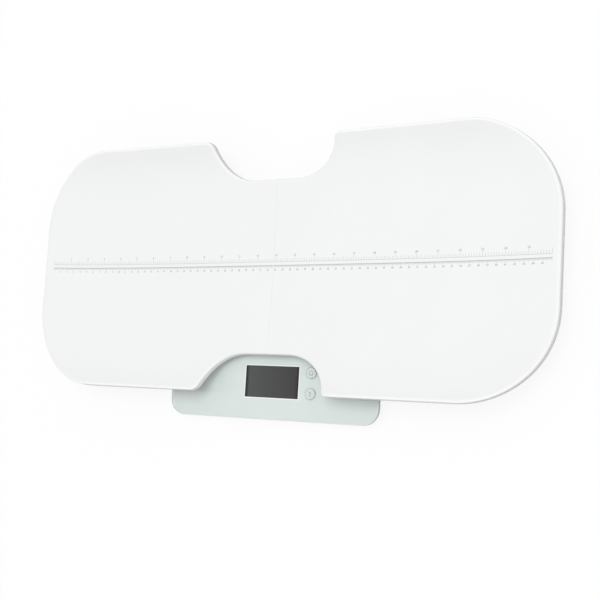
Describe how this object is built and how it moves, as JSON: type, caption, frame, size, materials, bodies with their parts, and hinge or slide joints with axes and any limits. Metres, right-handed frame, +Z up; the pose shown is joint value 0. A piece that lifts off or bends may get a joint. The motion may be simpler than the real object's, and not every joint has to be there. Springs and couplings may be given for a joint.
{
  "type": "digital baby weighing scale",
  "caption": "Digital baby weighing scale with a lift-off dished tray and printed measuring rule on a glass platform with a display, push keys and load-cell feet.",
  "frame": {"origin": "on the floor under the middle of the whole outline, tray and platform together", "axes": "+Z up, +X along the tray to the right of a person who reads the display, -Y towards that person and the display"},
  "size_m": [0.685, 0.334, 0.0658],
  "materials": {
    "tinted_glass": "clear glass with a faint green tint, bevelled edge",
    "back_print": "pale printed film",
    "tray_plastic": "white injection moulding, soft satin",
    "shell_plastic": "fine satin",
    "pad_rubber": "matte",
    "foot_rubber": "matte, non-slip",
    "display_glass": "dark grey unlit liquid crystal panel",
    "light_guide": "milky acrylic",
    "contact_rubber": "striped zebra rubber",
    "circuit_board": "green solder mask",
    "chip_resin": "black moulded drop",
    "key_plastic": "pale satin cap",
    "switch_plastic": "matte black",
    "screw_steel": "zinc-plated",
    "contact_nickel": "nickel-plated",
    "cell_jacket": "plain printed jacket",
    "load_cell_steel": "spring steel",
    "gauge_film": "amber film under sealant",
    "lead_jacket": "soft white jacket"
  },
  "bodies": {
    "platform": {"glass_plate": "tinted_glass", "back_print": "back_print", "display_housing": "shell_plastic", "housing_cover": "shell_plastic", "cover_screws": "screw_steel", "lcd_panel": "display_glass", "lcd_frame": "shell_plastic", "backlight": "light_guide", "connector_strips": "contact_rubber", "main_board": "circuit_board", "board_screws": "screw_steel", "controller_chip": "chip_resin", "key_upper_switch": "switch_plastic", "key_lower_switch": "switch_plastic", "battery_front": "cell_jacket", "battery_middle": "cell_jacket", "battery_back": "cell_jacket", "battery_contacts": "contact_nickel", "battery_springs": "contact_nickel", "strain_gauges": "gauge_film", "lead_clips": "shell_plastic", "sensor_housing_front_left": "shell_plastic", "load_cell_front_left": "load_cell_steel", "foot_cup_front_left": "shell_plastic", "foot_pad_front_left": "foot_rubber", "sensor_lead_front_left": "lead_jacket", "sensor_housing_front_right": "shell_plastic", "load_cell_front_right": "load_cell_steel", "foot_cup_front_right": "shell_plastic", "foot_pad_front_right": "foot_rubber", "sensor_lead_front_right": "lead_jacket", "sensor_housing_back_left": "shell_plastic", "load_cell_back_left": "load_cell_steel", "foot_cup_back_left": "shell_plastic", "foot_pad_back_left": "foot_rubber", "sensor_lead_back_left": "lead_jacket", "sensor_housing_back_right": "shell_plastic", "load_cell_back_right": "load_cell_steel", "foot_cup_back_right": "shell_plastic", "foot_pad_back_right": "foot_rubber", "sensor_lead_back_right": "lead_jacket"},
    "tray": {"tray_shell": "tray_plastic", "tray_pads": "pad_rubber"},
    "key_upper": {"key_upper_cap": "key_plastic", "key_upper_plunger": "switch_plastic"},
    "key_lower": {"key_lower_cap": "key_plastic", "key_lower_plunger": "switch_plastic"},
    "battery_door": {"battery_door": "shell_plastic"}
  },
  "joints": [
    {"name": "tray_lift", "type": "slide", "parent": "platform", "child": "tray", "axis": [0, 0, 1], "range_m": [0, 0.1]},
    {"name": "key_upper_press", "type": "slide", "parent": "platform", "child": "key_upper", "axis": [0, 0, -1], "range_m": [0, 0.0006], "stiffness_N_per_m": 1500, "springref_m": -0.0004},
    {"name": "key_lower_press", "type": "slide", "parent": "platform", "child": "key_lower", "axis": [0, 0, -1], "range_m": [0, 0.0006], "stiffness_N_per_m": 1500, "springref_m": -0.0004},
    {"name": "battery_door_slide", "type": "slide", "parent": "platform", "child": "battery_door", "axis": [0, 1, 0], "range_m": [0, 0.038]}
  ]
}
